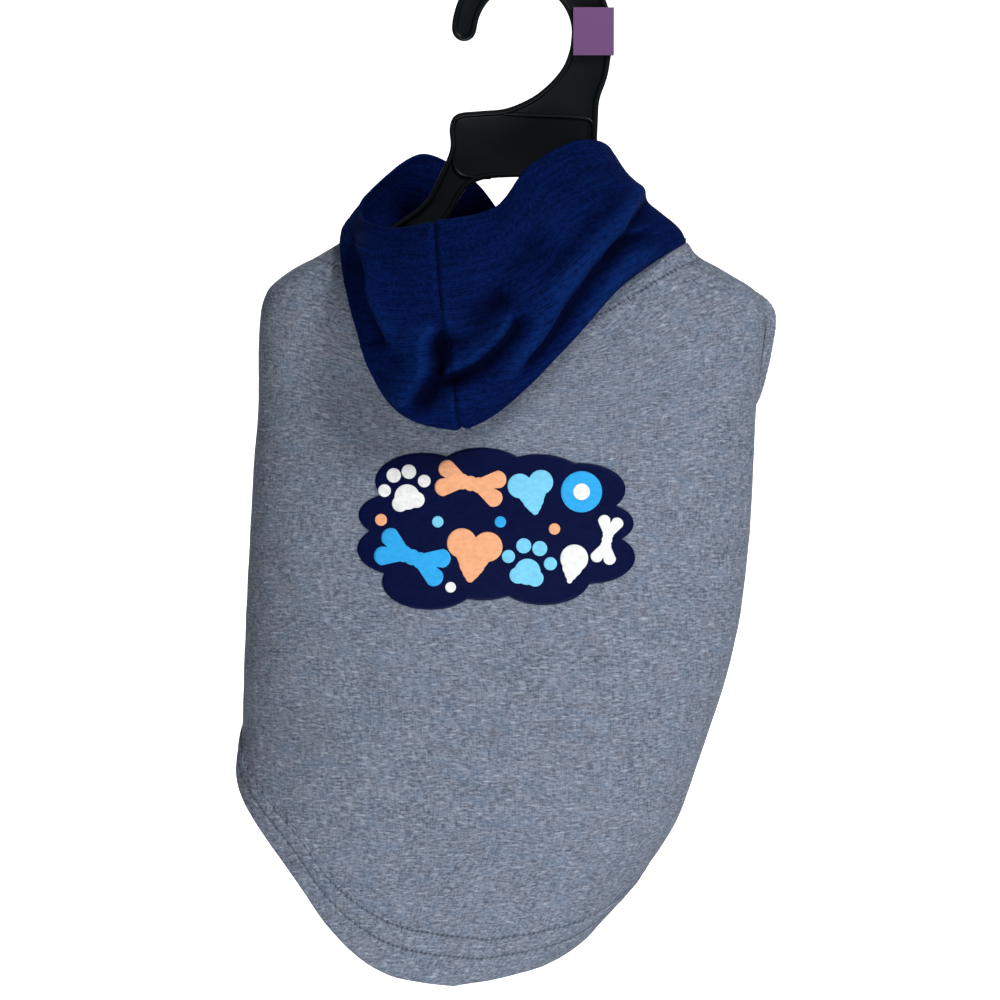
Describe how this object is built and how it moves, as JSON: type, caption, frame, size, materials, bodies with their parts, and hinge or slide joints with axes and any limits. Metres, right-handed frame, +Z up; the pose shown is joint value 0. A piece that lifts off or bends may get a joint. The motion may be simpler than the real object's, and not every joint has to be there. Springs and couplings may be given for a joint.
{
  "type": "dog hoodie on a hanger",
  "caption": "Sleeveless pullover hoodie for a small dog, with a drooping hood, leg bands, a curved hem and a back print, hanging on a plastic hanger.",
  "frame": {"origin": "inside top of the hanger's hook, where it rests on a rail", "axes": "+Z up, +X to the right of a viewer who sees the garment's back, -Y towards that viewer"},
  "size_m": [0.1953, 0.0958, 0.3672],
  "materials": {
    "grey_fleece": "heather grey knit with streaky light and dark flecks",
    "speckled_rib": "speckled grey rib knit",
    "navy_jersey": "navy sweatshirt knit, fine ribs",
    "print_ink": "matte printed transfer with coloured motifs",
    "black_plastic": "moulded, satin",
    "purple_plastic": "smooth, bare"
  },
  "bodies": {
    "root": {"back_panel": "grey_fleece", "chest_panel": "grey_fleece", "leg_band_left": "speckled_rib", "leg_band_right": "speckled_rib", "hood_left": "navy_jersey", "hood_right": "navy_jersey", "back_print": "print_ink", "hanger": "black_plastic", "size_clip": "purple_plastic"}
  },
  "joints": []
}
